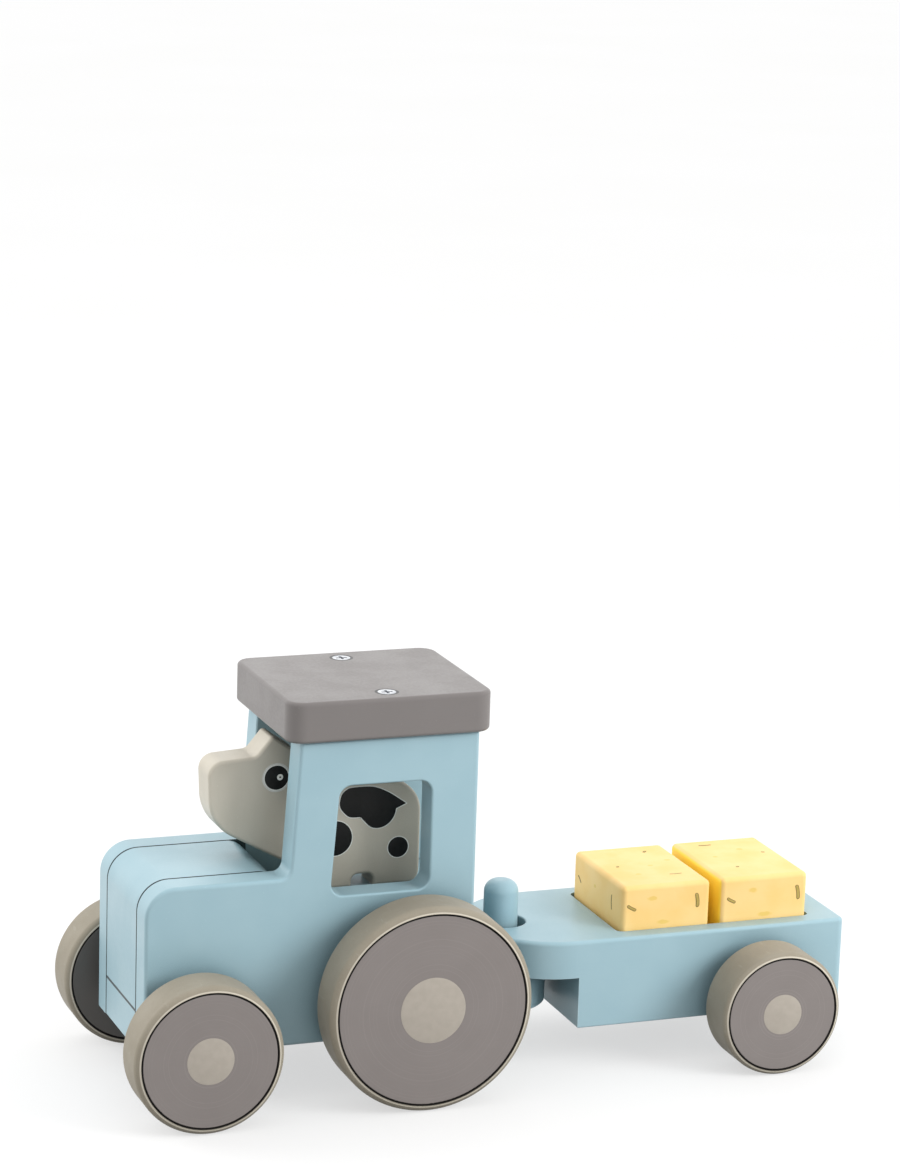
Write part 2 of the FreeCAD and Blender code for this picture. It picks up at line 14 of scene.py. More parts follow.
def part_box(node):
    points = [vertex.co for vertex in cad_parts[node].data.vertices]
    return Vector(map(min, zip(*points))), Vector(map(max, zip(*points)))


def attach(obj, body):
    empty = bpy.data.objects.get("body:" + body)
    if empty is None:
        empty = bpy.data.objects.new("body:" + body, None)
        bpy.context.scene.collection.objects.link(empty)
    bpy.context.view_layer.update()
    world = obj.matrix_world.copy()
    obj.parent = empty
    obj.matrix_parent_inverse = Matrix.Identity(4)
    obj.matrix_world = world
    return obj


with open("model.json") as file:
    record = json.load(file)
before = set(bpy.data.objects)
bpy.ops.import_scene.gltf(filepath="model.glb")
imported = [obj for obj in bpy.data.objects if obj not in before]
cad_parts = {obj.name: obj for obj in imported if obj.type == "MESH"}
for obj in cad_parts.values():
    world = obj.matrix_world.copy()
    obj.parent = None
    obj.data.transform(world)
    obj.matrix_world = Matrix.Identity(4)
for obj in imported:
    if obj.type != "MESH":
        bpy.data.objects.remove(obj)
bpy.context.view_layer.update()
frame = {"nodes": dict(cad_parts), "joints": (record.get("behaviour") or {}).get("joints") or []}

MM = 0.001


def rgb(red, green, blue):
    """A colour given as screen values of 0 to 255, as the linear values that Blender's shaders take."""
    linear = []
    for value in (red, green, blue):
        share = value / 255
        linear.append(share / 12.92 if value <= 10 else ((share + 0.055) / 1.055) ** 2.4)
    return (*linear, 1.0)


# --------------------------------------------------------------------------- camera

CAMERA_PLACE = Vector((-0.50823, -1.31211, 0.51774))
CAMERA_RIGHT = Vector((0.9370, -0.3479, 0.0307))
CAMERA_UP = Vector((0.0510, 0.2231, 0.9735))
CAMERA_AHEAD = Vector((0.3455, 0.9106, -0.2267))
CAMERA_LENS = 113.63


def make_camera():
    data = bpy.data.cameras.new("camera")
    data.sensor_fit = "AUTO"
    data.sensor_width = 36.0
    data.lens = CAMERA_LENS
    data.clip_start = 0.05
    data.clip_end = 60.0
    camera = bpy.data.objects.new("camera", data)
    bpy.context.scene.collection.objects.link(camera)
    turn = Matrix((CAMERA_RIGHT, CAMERA_UP, -CAMERA_AHEAD)).transposed().to_4x4()
    camera.matrix_world = Matrix.Translation(CAMERA_PLACE) @ turn
    bpy.context.scene.camera = camera


# --------------------------------------------------------------------------- shading nodes


class Shader:
    """A Principled material and short calls that add nodes to it.

    Patterns sit in the piece's own coordinates."""

    def __init__(self, name, roughness=0.4, metallic=0.0, specular=0.5):
        self.material = bpy.data.materials.new(name)
        self.material.use_nodes = True
        self.tree = self.material.node_tree
        self.surface = self.tree.nodes["Principled BSDF"]
        self.surface.inputs["Roughness"].default_value = roughness
        self.surface.inputs["Metallic"].default_value = metallic
        self.surface.inputs["Specular IOR Level"].default_value = specular
        self.place = self.add("ShaderNodeTexCoord").outputs["Object"]

    def add(self, kind, **settings):
        made = self.tree.nodes.new(kind)
        for key, value in settings.items():
            setattr(made, key, value)
        return made

    def put(self, socket, value):
        """Links an output to a socket, or sets the socket to a plain value."""
        if isinstance(value, bpy.types.NodeSocket):
            self.tree.links.new(value, socket)
        else:
            socket.default_value = value

    def math(self, operation, first, second=0.0, clamp=False):
        made = self.add("ShaderNodeMath", operation=operation, use_clamp=clamp)
        self.put(made.inputs[0], first)
        self.put(made.inputs[1], second)
        return made.outputs[0]

    def stretched(self, stretch, shift=(0.0, 0.0, 0.0)):
        made = self.add("ShaderNodeMapping")
        self.put(made.inputs["Vector"], self.place)
        made.inputs["Location"].default_value = shift
        made.inputs["Scale"].default_value = stretch
        return made.outputs["Vector"]

    def noise(self, scale, detail=2.0, rough=0.5, stretch=(1, 1, 1), shift=(0.0, 0.0, 0.0), warp=0.0):
        """Noise with so many blobs to the metre, from 0 to 1 about 0.5."""
        made = self.add("ShaderNodeTexNoise")
        self.put(made.inputs["Vector"], self.stretched([scale * s for s in stretch], shift))
        made.inputs["Scale"].default_value = 1.0
        made.inputs["Detail"].default_value = detail
        made.inputs["Roughness"].default_value = rough
        made.inputs["Distortion"].default_value = warp
        return made.outputs[0]

    def span(self, value, low, high, to_low=0.0, to_high=1.0, smooth=True):
        """Carries low..high to to_low..to_high, and holds beyond both ends."""
        made = self.add("ShaderNodeMapRange", clamp=True)
        made.interpolation_type = "SMOOTHSTEP" if smooth else "LINEAR"
        self.put(made.inputs["Value"], value)
        made.inputs["From Min"].default_value = low
        made.inputs["From Max"].default_value = high
        made.inputs["To Min"].default_value = to_low
        made.inputs["To Max"].default_value = to_high
        return made.outputs["Result"]

    def mix(self, share, first, second, blend="MIX"):
        made = self.add("ShaderNodeMix", data_type="RGBA", blend_type=blend)
        self.put(made.inputs[0], share)
        self.put(made.inputs[6], first)
        self.put(made.inputs[7], second)
        return made.outputs[2]

    def radius(self, centre, flat):
        """Distance from a line through centre. flat says which axes count: (1, 0, 1) is about a Y axis."""
        moved = self.add("ShaderNodeVectorMath", operation="SUBTRACT")
        self.put(moved.inputs[0], self.place)
        moved.inputs[1].default_value = centre
        masked = self.add("ShaderNodeVectorMath", operation="MULTIPLY")
        self.put(masked.inputs[0], moved.outputs[0])
        masked.inputs[1].default_value = flat
        length = self.add("ShaderNodeVectorMath", operation="LENGTH")
        self.put(length.inputs[0], masked.outputs[0])
        return length.outputs["Value"]

    def along(self, axis):
        """The coordinate along X, Y or Z."""
        made = self.add("ShaderNodeSeparateXYZ")
        self.put(made.inputs[0], self.place)
        return made.outputs[axis]

    def ring(self, radius, middle, width, soft):
        """1 on a ring of that middle radius and width, 0 off it."""
        away = self.math("ABSOLUTE", self.math("SUBTRACT", radius, middle))
        return self.span(away, width / 2 - soft, width / 2 + soft, 1.0, 0.0)

    def edges(self, reach, low=0.02, high=0.22):
        """1 on the rounded and sharp edges of the shape, fading to 0 on its flats."""
        bevel = self.add("ShaderNodeBevel", samples=4)
        bevel.inputs["Radius"].default_value = reach
        facing = self.add("ShaderNodeVectorMath", operation="DOT_PRODUCT")
        self.put(facing.inputs[0], bevel.outputs["Normal"])
        self.put(facing.inputs[1], self.add("ShaderNodeNewGeometry").outputs["Normal"])
        return self.span(self.math("SUBTRACT", 1.0, facing.outputs["Value"]), low, high)

    def painted_shade_mask(self, reach):
        """Mask for painted shade: 1 deep in corners and between close pieces, fading to 0 in the open."""
        made = self.add("ShaderNodeAmbientOcclusion", samples=6)
        made.inputs["Distance"].default_value = reach
        return self.span(made.outputs["AO"], 0.2, 0.8, 1.0, 0.0)

    def bump(self, height, distance):
        made = self.add("ShaderNodeBump")
        made.inputs["Distance"].default_value = distance
        self.put(made.inputs["Height"], height)
        self.put(self.surface.inputs["Normal"], made.outputs["Normal"])

    def finish(self, colour, roughness=None):
        self.put(self.surface.inputs["Base Color"], colour)
        if roughness is not None:
            self.put(self.surface.inputs["Roughness"], roughness)
        return self.material


# --------------------------------------------------------------------------- places from the frame

HOOD_LOW, HOOD_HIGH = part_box("hood_block")
CORE_HALF = HOOD_HIGH.y
HOOD_REAR = HOOD_HIGH.x
BASE_TOP = HOOD_LOW.z

SCREWS_LOW, SCREWS_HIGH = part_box("roof_screws")
SCREW_RADIUS = (SCREWS_HIGH.x - SCREWS_LOW.x) / 2
SCREW_ALONG = (SCREWS_HIGH.x + SCREWS_LOW.x) / 2
SCREW_ACROSS = SCREWS_HIGH.y - SCREW_RADIUS
ROOF_SCREWS = [(SCREW_ALONG, side * SCREW_ACROSS, SCREWS_HIGH.z) for side in (-1, 1)]

HINGE_PLACES = {joint["name"]: joint["pos_m"] for joint in frame["joints"] if joint["type"] == "hinge"}
WHEELSETS = ("front", "rear", "trailer")

GAP_INSET = 0.1 * MM
GAP_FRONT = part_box("bale_front")[1].x - GAP_INSET
GAP_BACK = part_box("bale_rear")[0].x + GAP_INSET


def disc_radius(name):
    low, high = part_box(f"{name}_wheel_disc_right")
    return (high.x - low.x) / 2


# --------------------------------------------------------------------------- finishes

SEAM_WIDTH = 0.6 * MM
SEAM_SOFT = 0.08 * MM
ALONG_X = (0.06, 1.0, 1.0)
ALONG_Z = (1.0, 1.0, 0.06)


def painted_wood(name, colour, deep, pale, shade_colour, rough, grain, grain_share=0.5, marks=None, cloud=0.55):
    """Satin paint on smooth wood: soft clouding, the grain just telling through, paler edges (partly thin
    paint, partly painted highlight) and painted shade in crevices.

    marks(shader, colour) may paint more over the colour."""
    s = Shader(name, roughness=rough)
    clouds = s.noise(55, 3, shift=(3.1, 1.7, 0.4))
    fibres = s.noise(1300, 3, 0.6, stretch=grain)
    peel = s.noise(900, 2, 0.5, shift=(0.2, 5.0, 1.0))
    shown = s.mix(s.span(clouds, 0.3, 0.7, 0.0, cloud), colour, deep)
    shown = s.mix(s.span(fibres, 0.52, 0.78, 0.0, 0.3), shown, deep)
    specks = s.noise(1700, 0, shift=(9.0, 2.0, 4.0))
    shown = s.mix(s.span(specks, 0.8, 0.86, 0.0, 0.35), shown, pale)
    # Paler edges: partly paint worn thin, partly a painted highlight along the roundings.
    worn_and_highlit = s.math("MULTIPLY", s.edges(0.8 * MM), s.span(s.noise(260, 3), 0.3, 0.65, 0.35, 1.0))
    shown = s.mix(s.math("MULTIPLY", worn_and_highlit, 0.55), shown, pale)
    # Painted shade: darker in corners and between close pieces.
    shown = s.mix(s.math("MULTIPLY", s.painted_shade_mask(26 * MM), 0.5), shown, shade_colour)
    if marks is not None:
        shown = marks(s, shown)
    s.bump(s.math("ADD", s.math("MULTIPLY", fibres, grain_share), peel), 0.00001)
    cloudy_gloss = s.span(clouds, 0.3, 0.7, rough - 0.04, rough + 0.04)
    return s.finish(shown, s.math("ADD", cloudy_gloss, s.span(peel, 0.3, 0.7, -0.03, 0.03)))


def screw_gap_shade(places, radius):
    """Painted shade: a dark line in the paint round each countersunk screw head, for the gap round it."""

    def marks(s, colour):
        for place in places:
            away = s.radius(place, (1, 1, 0))
            # Painted shade: a dark ring just round the head.
            rim = s.ring(away, radius + 0.2 * MM, 0.9 * MM, 0.12 * MM)
            top = s.span(s.along("Z"), place[2] - 0.4 * MM, place[2] - 0.2 * MM)
            colour = s.mix(s.math("MULTIPLY", rim, top), colour, rgb(34, 33, 33))
        return colour

    return marks


def seam_shade(inside, before=1.0, floor=None, roof=None):
    """Dark joint lines where boards meet, in the grooves of the hood and seat.

    inside is True on the boards between the side panels, and False on the panels.
    The lines end at x = before, and floor and roof are the heights of joints below and above the board."""

    def marks(s, colour):
        across = s.math("ABSOLUTE", s.along("Y"))
        reach = SEAM_WIDTH if inside else -SEAM_WIDTH
        seam = s.span(across, CORE_HALF - reach - SEAM_SOFT, CORE_HALF - reach + SEAM_SOFT)
        if not inside:
            seam = s.math("SUBTRACT", 1.0, seam)
        for height, sign in ((floor, -1), (roof, 1)):
            if height is not None:
                edge = sign * height - SEAM_WIDTH
                outward = s.math("MULTIPLY", s.along("Z"), sign)
                seam = s.math("MAXIMUM", seam, s.span(outward, edge - SEAM_SOFT, edge + SEAM_SOFT))
        kept = s.span(s.along("X"), before - SEAM_SOFT, before + SEAM_SOFT, 1.0, 0.0)
        shade = s.math("MULTIPLY", s.math("MULTIPLY", seam, kept), 0.95)
        return s.mix(shade, colour, rgb(24, 42, 46))

    return marks


SHADED_DEPTH = 44 * MM
LIT_DEPTH = 46 * MM


def disc_paint(name, colour, deep, pale, axis, rim):
    """Flat paint on a turned disc: faint turning rings about its axis, and a dark rim at that radius as
    painted shade for the groove.

    The inner faces, nearer to y = 0 than the two depths above, are darker: painted shade."""
    s = Shader(name, roughness=0.5)
    away = s.radius(axis, (1, 0, 1))
    spun = s.add("ShaderNodeTexNoise", noise_dimensions="1D")
    s.put(spun.inputs["W"], s.math("MULTIPLY", away, 1500))
    spun.inputs["Scale"].default_value = 1.0
    spun.inputs["Detail"].default_value = 3.0
    turning = spun.outputs[0]
    clouds = s.noise(60, 3)
    grain = s.noise(1300, 3, 0.6, stretch=ALONG_X)
    shown = s.mix(s.span(clouds, 0.3, 0.7, 0.0, 0.5), colour, deep)
    shown = s.mix(s.span(grain, 0.5, 0.8, 0.0, 0.3), shown, deep)
    shown = s.mix(s.span(turning, 0.55, 0.8, 0.0, 0.25), shown, pale)
    # Paler edges: partly thin paint, partly a painted highlight.
    shown = s.mix(s.math("MULTIPLY", s.edges(0.6 * MM), 0.4), shown, pale)
    # Painted shade on the inner faces, which face the body.
    inner_shade = s.span(s.math("ABSOLUTE", s.along("Y")), SHADED_DEPTH, LIT_DEPTH, 1.0, 0.0)
    shown = s.mix(inner_shade, shown, rgb(92, 89, 86))
    # Painted shade: near-black rim where the disc meets the tyre's groove.
    shown = s.mix(s.span(away, rim - 0.35 * MM, rim - 0.15 * MM), shown, rgb(26, 25, 24))
    height = s.math("ADD", s.math("MULTIPLY", turning, 0.6), s.noise(1000, 2))
    s.bump(height, 0.000015)
    return s.finish(shown, s.span(clouds, 0.3, 0.7, 0.44, 0.54))


def rubber(name, axis, seat):
    """Matt moulded rubber: fine grain, a chalky bloom, painted shade in crevices, a pale lip as painted
    highlight and a dark groove round the disc as painted shade.
    """
    s = Shader(name, roughness=0.6, specular=0.4)
    s.surface.inputs["Sheen Weight"].default_value = 0.06
    s.surface.inputs["Sheen Roughness"].default_value = 0.5
    bloom = s.noise(75, 4, 0.6)
    grain = s.noise(2400, 2)
    shown = s.mix(s.span(bloom, 0.3, 0.7, 0.0, 0.6), rgb(156, 148, 132), rgb(148, 140, 124))
    shown = s.mix(s.span(grain, 0.45, 0.8, 0.0, 0.3), shown, rgb(136, 128, 112))
    scuffs = s.noise(420, 3, 0.6, stretch=(1, 0.25, 1), warp=0.4)
    shown = s.mix(s.span(scuffs, 0.62, 0.72, 0.0, 0.25), shown, rgb(176, 170, 158))
    # Painted shade in crevices and near other parts.
    shown = s.mix(s.math("MULTIPLY", s.painted_shade_mask(24 * MM), 0.45), shown, rgb(70, 66, 58))
    away = s.radius(axis, (1, 0, 1))
    # Painted highlight: a pale ring on the lip next to the groove.
    lip_highlight = s.ring(away, seat + 0.95 * MM, 0.5 * MM, 0.2 * MM)
    shown = s.mix(s.math("MULTIPLY", lip_highlight, 0.7), shown, rgb(226, 219, 203))
    # Painted shade: the groove wall round the disc, near-black.
    shown = s.mix(s.span(away, seat + 0.45 * MM, seat + 0.62 * MM, 1.0, 0.0), shown, rgb(24, 22, 20))
    s.bump(s.math("ADD", grain, s.math("MULTIPLY", scuffs, 0.4)), 0.00003)
    return s.finish(shown, s.span(bloom, 0.3, 0.7, 0.55, 0.68))


GAP_SOFT = 0.5 * MM


def straw(name, shift, blots):
    """Matt straw-yellow paint with a few watery ochre blots, given as (middle, reach along x, y and z);
    paler edges as painted highlight, and painted bounce light on the ends facing across the gap.
    """
    s = Shader(name, roughness=0.5, specular=0.45)
    clouds = s.noise(70, 3, shift=shift)
    fibres = s.noise(1200, 3, 0.6, stretch=ALONG_X)
    ragged = s.math("MULTIPLY", s.math("SUBTRACT", s.noise(420, 3), 0.5), 1.1)
    shown = s.mix(s.span(clouds, 0.3, 0.7), rgb(250, 214, 144), rgb(248, 208, 132))
    shown = s.mix(s.span(fibres, 0.55, 0.8, 0.0, 0.22), shown, rgb(242, 203, 116))
    for middle, reach in blots:
        moved = s.add("ShaderNodeMapping", vector_type="TEXTURE")
        s.put(moved.inputs["Vector"], s.place)
        moved.inputs["Location"].default_value = [v * MM for v in middle]
        moved.inputs["Scale"].default_value = [v * MM for v in reach]
        length = s.add("ShaderNodeVectorMath", operation="LENGTH")
        s.put(length.inputs[0], moved.outputs[0])
        spot = s.span(s.math("ADD", length.outputs["Value"], ragged), 0.6, 1.15, 0.55, 0.0)
        shown = s.mix(spot, shown, rgb(228, 192, 78))
    # Painted highlight: paler along the rounded edges.
    shown = s.mix(s.math("MULTIPLY", s.edges(1.2 * MM), 0.35), shown, rgb(255, 236, 184))
    # Painted bounce light: the two ends facing each other across the gap between the bales are a deeper,
    # warmer amber.
    along = s.along("X")
    gap_front = s.span(along, GAP_FRONT - GAP_SOFT, GAP_FRONT)
    gap_back = s.span(along, GAP_BACK, GAP_BACK + GAP_SOFT, 1.0, 0.0)
    between = s.math("MULTIPLY", gap_front, gap_back)
    shown = s.mix(s.math("MULTIPLY", between, 0.75), shown, rgb(255, 222, 46))
    s.bump(s.math("ADD", s.noise(800, 2), s.math("MULTIPLY", fibres, 0.5)), 0.00003)
    return s.finish(shown, s.span(clouds, 0.3, 0.7, 0.46, 0.58))


def beech(name, grain):
    """Sanded bare beech: pale tan with darker fibres and short pores along the grain."""
    s = Shader(name, roughness=0.58)
    bands = s.noise(260, 3, 0.6, stretch=grain, warp=0.8)
    fibres = s.noise(1600, 4, 0.65, stretch=grain)
    pores = s.noise(2200, 0, stretch=[max(g, 0.12) for g in grain], shift=(2.0, 7.0, 1.0))
    shown = s.mix(s.span(bands, 0.35, 0.65), rgb(214, 178, 132), rgb(194, 154, 108))
    shown = s.mix(s.span(fibres, 0.45, 0.75, 0.0, 0.6), shown, rgb(176, 134, 90))
    shown = s.mix(s.span(pores, 0.72, 0.8, 0.0, 0.8), shown, rgb(120, 82, 52))
    s.bump(s.math("SUBTRACT", fibres, s.span(pores, 0.7, 0.8, 0.0, 0.8)), 0.00004)
    return s.finish(shown, s.span(fibres, 0.3, 0.7, 0.5, 0.66))


BRIGHT_ZINC = rgb(214, 217, 222), rgb(182, 187, 195)
HEAD_ZINC = rgb(226, 228, 231), rgb(196, 200, 206)


def zinc(name, grain, rims=(), metallic=1.0, tones=BRIGHT_ZINC):
    """Zinc-plated steel: faint drawing lines, small dull patches, and dark rims on the screw heads as
    painted shade for the gap round them.
    """
    rough = 0.3
    s = Shader(name, roughness=rough, metallic=metallic)
    lines = s.noise(1800, 4, 0.6, stretch=grain)
    patches = s.noise(520, 3, 0.6)
    shown = s.mix(s.span(patches, 0.35, 0.65), *tones)
    shown = s.mix(s.span(lines, 0.55, 0.8, 0.0, 0.5), shown, rgb(150, 154, 160))
    if rims:
        # Painted shade on the rim of each head.
        away = s.math("MINIMUM", *[s.radius(place, (1, 1, 0)) for place in rims])
        rim = s.span(away, SCREW_RADIUS - 0.6 * MM, SCREW_RADIUS - 0.35 * MM)
        shown = s.mix(rim, shown, rgb(58, 58, 60))
    s.bump(s.math("ADD", lines, patches), 0.00001)
    return s.finish(shown, s.span(patches, 0.3, 0.7, rough - 0.08, rough + 0.12))


def ink(name, colour, other, rough=0.4, specular=0.4):
    """Printed paint: a thin even film, slightly cloudy, with the fine tooth of the wood under it."""
    s = Shader(name, roughness=rough, specular=specular)
    clouds = s.noise(300, 3)
    tooth = s.noise(1700, 3, 0.6)
    shown = s.mix(s.span(clouds, 0.3, 0.7), colour, other)
    shown = s.mix(s.span(tooth, 0.6, 0.85, 0.0, 0.4), shown, other)
    s.bump(tooth, 0.00001)
    return s.finish(shown, s.span(clouds, 0.3, 0.7, rough - 0.05, rough + 0.08))


def dress(nodes, material):
    """Gives CAD nodes their finish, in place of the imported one."""
    for node in nodes:
        slots = frame["nodes"][node].material_slots
        for slot in slots:
            slot.material = material


# Each paint: its colour, a deeper tone, a paler tone, and (for the boards) the colour of painted shade in
# crevices.
BLUE = rgb(160, 191, 201), rgb(154, 186, 197), rgb(200, 221, 227), rgb(74, 98, 104)
GREY = rgb(122, 117, 115), rgb(119, 114, 112), rgb(156, 152, 150), rgb(60, 57, 56)
MAUVE = rgb(133, 126, 123), rgb(129, 122, 119), rgb(158, 151, 147)
CREAM = rgb(206, 199, 184), rgb(198, 191, 175), rgb(230, 226, 215), rgb(96, 92, 82)

# Each blot: its middle, and its reach along x, y and z, in mm.
FRONT_BLOTS = [
    ((70.0, -25.5, 66.0), (2.4, 1.0, 1.0)),
    ((75.2, -25.5, 55.9), (3.0, 1.0, 0.9)),
    ((57.3, 3.0, 63.5), (1.0, 1.3, 0.9)),
    ((79.5, -1.1, 71.6), (1.2, 1.1, 1.0)),
    ((89.2, 4.2, 71.6), (1.3, 1.2, 1.0)),
    ((70.2, -10.7, 71.6), (1.4, 1.1, 1.0)),
    ((83.0, 25.5, 64.0), (2.4, 1.0, 1.1)),
    ((68.0, 25.5, 54.5), (2.8, 1.0, 0.9)),
    ((95.3, -6.0, 60.0), (1.0, 2.2, 1.1)),
]
REAR_BLOTS = [
    ((114.2, -25.5, 65.8), (2.2, 1.0, 1.2)),
    ((119.7, -25.5, 55.5), (3.6, 1.0, 1.0)),
    ((124.0, 10.0, 71.6), (1.4, 1.2, 1.0)),
    ((110.0, 3.0, 71.6), (1.2, 1.0, 1.0)),
    ((120.0, 25.5, 63.0), (2.4, 1.0, 1.1)),
    ((138.1, 7.0, 61.0), (1.0, 2.4, 1.2)),
    ((138.1, -13.0, 53.0), (1.0, 2.0, 0.9)),
    ((100.1, 8.0, 60.0), (1.0, 2.2, 1.1)),
]


def dress_frame():
    """Gives every CAD node its finish."""

    def blue(name, grain, marks=None):
        return painted_wood(name, *BLUE, 0.36, grain, marks=marks)

    panels = blue("blue_paint_panels", ALONG_X, seam_shade(False, HOOD_REAR))
    dress(["side_panel_left", "side_panel_right"], panels)
    dress(["hood_block"], blue("blue_paint_hood", ALONG_X, seam_shade(True, floor=BASE_TOP)))
    dress(["base_board"], blue("blue_paint_base", ALONG_X, seam_shade(True, HOOD_REAR, roof=BASE_TOP)))
    dress(["cab_block"], blue("blue_paint_seat", ALONG_Z, seam_shade(True)))
    dress(["trailer_body"], blue("blue_paint_trailer", ALONG_X))
    dress(["hitch_peg"], blue("blue_paint_peg", ALONG_Z))
    rims = screw_gap_shade(ROOF_SCREWS, SCREW_RADIUS)
    dress(["roof_board"], painted_wood("grey_paint_roof", *GREY, 0.36, ALONG_X, marks=rims, cloud=0.3))
    dress(["calf_figure"], painted_wood("cream_paint_calf", *CREAM, 0.42, ALONG_Z, 1.0))
    dress(["panel_dowels", "calf_dowels"], beech("beech_dowels", ALONG_Z))
    dress(["roof_screws"], zinc("zinc_roof_screws", ALONG_X, ROOF_SCREWS, 0.8, HEAD_ZINC))
    dress(["base_screws"], zinc("zinc_base_screws", ALONG_X))
    for name in WHEELSETS:
        axis = HINGE_PLACES[f"{name}_axle_spin"]
        rim = disc_radius(name)
        discs = disc_paint(f"mauve_paint_{name}", *MAUVE, axis, rim)
        dress([f"{name}_wheel_disc_left", f"{name}_wheel_disc_right"], discs)
        dress([f"{name}_tyre_left", f"{name}_tyre_right"], rubber(f"rubber_{name}", axis, rim))
        dress([f"{name}_axle"], zinc(f"zinc_{name}_axle", (1.0, 0.05, 1.0)))
        dress([f"{name}_spacers"], beech(f"beech_{name}_spacers", (1.0, 0.06, 1.0)))
    dress(["bale_front"], straw("straw_paint_front", (1.0, 0.0, 0.0), FRONT_BLOTS))
    dress(["bale_rear"], straw("straw_paint_rear", (6.0, 3.0, 0.0), REAR_BLOTS))


# --------------------------------------------------------------------------- painted marks

SUNK = 0.04 * MM


def grown(outline, by):
    """A closed outline moved outwards by that much. It runs anticlockwise."""
    count = len(outline)
    moved = []
    for i, point in enumerate(outline):
        before, after = outline[i - 1], outline[(i + 1) % count]
        first = Vector((point[1] - before[1], before[0] - point[0])).normalized()
        second = Vector((after[1] - point[1], point[0] - after[0])).normalized()
        middle = (first + second).normalized()
        reach = by / max(0.6, middle.dot(first))
        moved.append((point[0] + middle.x * reach, point[1] + middle.y * reach))
    return moved


def anticlockwise(outline):
    area = sum(a[0] * b[1] - b[0] * a[1] for a, b in zip(outline, outline[1:] + outline[:1]))
    return outline if area > 0 else outline[::-1]


def film(name, outline, place, body, material, thick):
    """A thin closed film of paint with a rolled edge. place(u, v, height) puts a point on the object."""
    outline = anticlockwise(outline)
    inset = 1.2 * thick
    rings = [
        (grown(outline, -0.2 * inset), -SUNK),
        (outline, 0.25 * thick),
        (grown(outline, -0.35 * inset), 0.8 * thick),
        (grown(outline, -inset), thick),
    ]
    built = bmesh.new()
    rows = [[built.verts.new(place(u, v, height)) for u, v in ring] for ring, height in rings]
    count = len(outline)
    for lower, upper in zip(rows, rows[1:]):
        for i in range(count):
            j = (i + 1) % count
            built.faces.new((lower[i], lower[j], upper[j], upper[i]))
    caps = [built.faces.new(rows[-1]), built.faces.new(rows[0][::-1])]
    bmesh.ops.triangulate(built, faces=caps)
    bmesh.ops.recalc_face_normals(built, faces=built.faces)
    mesh = bpy.data.meshes.new(name)
    built.to_mesh(mesh)
    built.free()
    for face in mesh.polygons:
        face.use_smooth = True
    mesh.materials.append(material)
    piece = bpy.data.objects.new(name, mesh)
    bpy.context.scene.collection.objects.link(piece)
    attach(piece, body)


def circle(u, v, radius, count=64):
    turns = [math.tau * i / count for i in range(count)]
    return [(u + radius * math.cos(turn), v + radius * math.sin(turn)) for turn in turns]


def smooth(points, corners=(), steps=6):
    """A closed curve through the points, with a sharp turn at the points whose numbers are in corners."""
    count = len(points)
    curve = []
    for i in range(count):
        p0, p1, p2, p3 = (Vector(points[(i + k) % count]) for k in (-1, 0, 1, 2))
        leave = Vector((0, 0)) if i in corners else (p2 - p0) / 2
        reach = Vector((0, 0)) if (i + 1) % count in corners else (p3 - p1) / 2
        if i in corners:
            leave = (p2 - p1) - reach / 2
        if (i + 1) % count in corners:
            reach = (p2 - p1) - leave / 2
        for k in range(steps):
            t = k / steps
            point = (
                (2 * t**3 - 3 * t**2 + 1) * p1
                + (t**3 - 2 * t**2 + t) * leave
                + (3 * t**2 - 2 * t**3) * p2
                + (t**3 - t**2) * reach
            )
            curve.append((point.x, point.y))
    return curve


def in_mm(points):
    return [(u * MM, v * MM) for u, v in points]


# The calf's marks, as (x, z) in mm.
CLOUD_PATCH = [
    (-55.9, 108.2), (-55.4, 112.5), (-53.4, 114.7), (-50.7, 115.5), (-42.5, 115.3), (-36.3, 112.8),
    (-31.1, 109.4), (-28.6, 107.6), (-32.7, 105.8), (-33.6, 102.5), (-36.0, 99.7), (-39.3, 98.4),
    (-42.8, 98.9), (-45.6, 101.4), (-47.3, 103.4), (-51.4, 103.5), (-53.8, 105.1),
]
CLOUD_CORNERS = (7, 8, 14)
EYE = (-81.9, 121.7)
GLINT = (-80.5, 121.8)
PATCH_RIM = 0.35 * MM
# Each layer of the eye, lowest first: name, middle, radius in mm, thickness in mm, count of points.
EYE_LAYERS = [
    ("eye_halo", EYE, 5.8, 0.02, 64),
    ("eye_rim", EYE, 5.15, 0.04, 64),
    ("eye", EYE, 4.83, 0.08, 64),
    ("eye_glint", GLINT, 1.28, 0.11, 40),
    ("eye_pupil", GLINT, 0.42, 0.14, 24),
]


